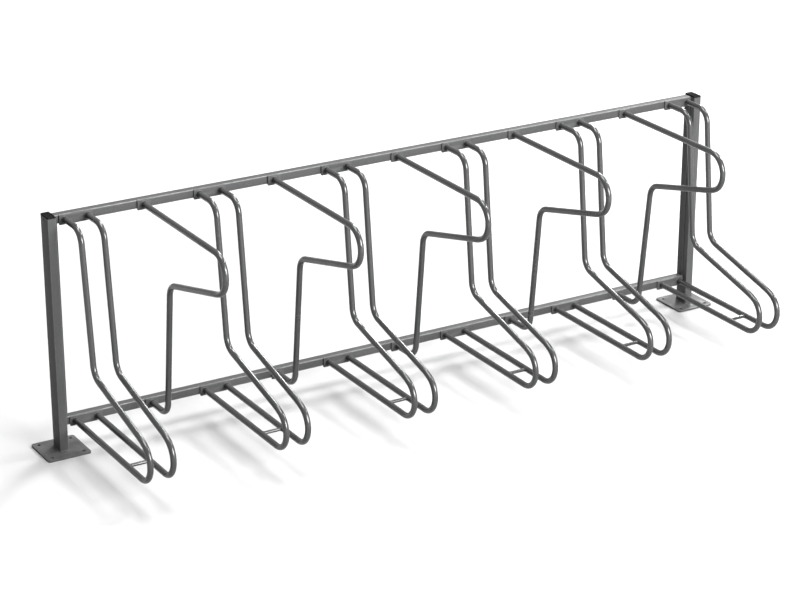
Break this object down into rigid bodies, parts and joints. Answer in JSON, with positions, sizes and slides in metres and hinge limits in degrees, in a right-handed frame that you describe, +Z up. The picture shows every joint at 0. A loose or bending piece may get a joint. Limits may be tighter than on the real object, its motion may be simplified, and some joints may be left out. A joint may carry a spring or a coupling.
{
  "type": "floor bicycle rack",
  "caption": "Floor rack for bicycles: two posts on bolted base plates, two rails, bent double-tube wheel hoops and raised single-tube leaning arms between them.",
  "frame": {"origin": "on the floor, in the middle of the rack's overall length and depth", "axes": "+X along the rack, to the right as seen from the side where the wheels roll in; +Y back, away from that side; +Z up"},
  "size_m": [2.268, 0.5675, 0.691],
  "materials": {
    "post": "satin metallic powder coat",
    "plate": "satin metallic powder coat",
    "rail": "satin metallic powder coat",
    "tube": "semi-gloss metallic powder coat",
    "bracket": "satin metallic powder coat",
    "cap": "fine-grained",
    "bolt": "zinc plated",
    "plug": "plain"
  },
  "bodies": {
    "root": {"post_left": "post", "base_plate_left": "plate", "post_cap_left": "cap", "end_bar_left": "rail", "post_right": "post", "base_plate_right": "plate", "post_cap_right": "cap", "end_bar_right": "rail", "top_rail": "rail", "bottom_rail": "rail", "hoop_1_tube_left": "tube", "hoop_1_tube_right": "tube", "hoop_1_crossbar": "tube", "hoop_1_bracket_top": "bracket", "hoop_1_bracket_bottom": "bracket", "hoop_2_tube_left": "tube", "hoop_2_tube_right": "tube", "hoop_2_crossbar": "tube", "hoop_2_bracket_top": "bracket", "hoop_2_bracket_bottom": "bracket", "hoop_3_tube_left": "tube", "hoop_3_tube_right": "tube", "hoop_3_crossbar": "tube", "hoop_3_bracket_top": "bracket", "hoop_3_bracket_bottom": "bracket", "hoop_4_tube_left": "tube", "hoop_4_tube_right": "tube", "hoop_4_crossbar": "tube", "hoop_4_bracket_top": "bracket", "hoop_4_bracket_bottom": "bracket", "hoop_5_tube_left": "tube", "hoop_5_tube_right": "tube", "hoop_5_crossbar": "tube", "hoop_5_bracket_top": "bracket", "hoop_5_bracket_bottom": "bracket", "hoop_6_tube_left": "tube", "hoop_6_tube_right": "tube", "hoop_6_crossbar": "tube", "hoop_6_bracket_top": "bracket", "hoop_6_bracket_bottom": "bracket", "arm_1_tube": "tube", "arm_1_bracket_top": "bracket", "arm_1_bracket_bottom": "bracket", "arm_2_tube": "tube", "arm_2_bracket_top": "bracket", "arm_2_bracket_bottom": "bracket", "arm_3_tube": "tube", "arm_3_bracket_top": "bracket", "arm_3_bracket_bottom": "bracket", "arm_4_tube": "tube", "arm_4_bracket_top": "bracket", "arm_4_bracket_bottom": "bracket", "arm_5_tube": "tube", "arm_5_bracket_top": "bracket", "arm_5_bracket_bottom": "bracket", "rail_end_plugs": "plug", "frame_bolts": "bolt", "bracket_bolts_top": "bolt", "bracket_bolts_bottom": "bolt"}
  },
  "joints": []
}
